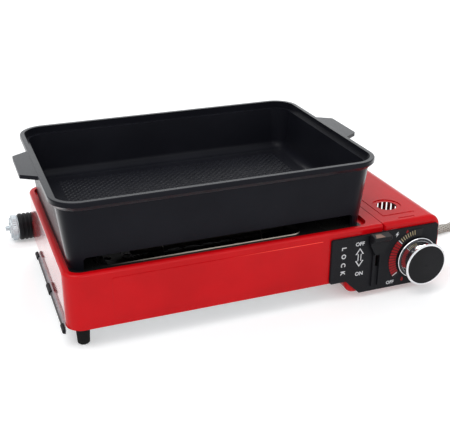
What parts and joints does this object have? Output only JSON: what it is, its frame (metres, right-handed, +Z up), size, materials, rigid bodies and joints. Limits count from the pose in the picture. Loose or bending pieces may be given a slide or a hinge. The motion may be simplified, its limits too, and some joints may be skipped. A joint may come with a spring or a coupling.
{
  "type": "cassette gas stove with pan",
  "caption": "Long low table-top gas stove: enamelled body with a lidded cartridge bay, knob, lever and hose, under a deep rectangular cast pan with side ears.",
  "frame": {"origin": "under the middle of the stove's box without its hose, on the table", "axes": "+X along the stove towards the cartridge bay, -Y towards the controls, +Z up"},
  "size_m": [0.7948, 0.3902, 0.1878],
  "materials": {
    "red_enamel": "gloss red stove enamel",
    "cast_coating": "satin non-stick coating on cast aluminium",
    "black_enamel": "gloss black stove enamel",
    "black_panel": "fine-textured black",
    "black_plastic": "satin black",
    "knob_chrome": "bright chrome",
    "scale_red": "printed scale plate",
    "zinc_sheet": "galvanised sheet",
    "stainless": "stainless tube",
    "plain_steel": "bright steel",
    "die_cast": "die-cast",
    "brass": "turned brass",
    "copper_pipe": "drawn copper pipe",
    "foot_rubber": "moulded black rubber",
    "hose_braid": "braided hose cover",
    "hose_zinc": "zinc-plated fitting"
  },
  "bodies": {
    "stove": {"outer_shell": "red_enamel", "seat_liner": "black_enamel", "base_plate": "zinc_sheet", "bay_shell": "red_enamel", "hinge_brackets": "plain_steel", "hinge_pins": "plain_steel", "control_panel": "black_panel", "dial_scale": "scale_red", "valve_body": "die_cast", "regulator": "die_cast", "cartridge_stop": "zinc_sheet", "cartridge_cradle": "zinc_sheet", "cross_box": "stainless", "mixing_tube": "stainless", "front_burner": "stainless", "back_burner": "stainless", "burner_brackets": "zinc_sheet", "burner_tray": "zinc_sheet", "heat_shield": "zinc_sheet", "gas_jet": "brass", "gas_pipe": "copper_pipe", "gas_inlet": "brass", "inlet_pipe": "copper_pipe", "piezo_igniter": "black_plastic", "front_left_foot": "foot_rubber", "back_left_foot": "foot_rubber", "front_right_foot": "foot_rubber", "back_right_foot": "foot_rubber", "tray_rails": "zinc_sheet", "inlet_ferrule": "hose_zinc", "gas_hose": "hose_braid", "far_ferrule": "hose_zinc", "connector_body": "black_plastic", "connector_ring": "hose_zinc", "connector_tip": "brass"},
    "pan": {"roasting_pan": "cast_coating"},
    "lid": {"bay_lid": "red_enamel"},
    "knob": {"gas_knob": "knob_chrome", "knob_cap": "black_plastic", "knob_spindle": "plain_steel"},
    "lever": {"cartridge_lever": "black_plastic", "lever_slide": "plain_steel"},
    "clamp": {"cartridge_clamp": "plain_steel"},
    "tray": {"drip_tray": "zinc_sheet", "tray_end_caps": "black_plastic", "tray_grip": "black_plastic"}
  },
  "joints": [
    {"name": "pan_lift", "type": "slide", "parent": "stove", "child": "pan", "axis": [0, 0, 1], "range_m": [0, 0.12]},
    {"name": "lid_hinge", "type": "hinge", "parent": "stove", "child": "lid", "pos_m": [0.2405, 0.01175, 0.085], "axis": [0, 1, 0], "range_deg": [0, 95]},
    {"name": "knob_turn", "type": "hinge", "parent": "stove", "child": "knob", "pos_m": [0.2195, -0.13825, 0.047], "axis": [0, -1, 0], "range_deg": [0, 150]},
    {"name": "lever_press", "type": "slide", "parent": "stove", "child": "lever", "axis": [0, 0, -1], "range_m": [0, 0.022]},
    {"name": "clamp_slide", "type": "slide", "parent": "stove", "child": "clamp", "axis": [0, -1, 0], "range_m": [0, 0.006]},
    {"name": "tray_slide", "type": "slide", "parent": "stove", "child": "tray", "axis": [-1, 0, 0], "range_m": [0, 0.15]}
  ],
  "couplings": [
    {"joint": "clamp_slide", "follows": "lever_press", "ratio": 0.27}
  ]
}
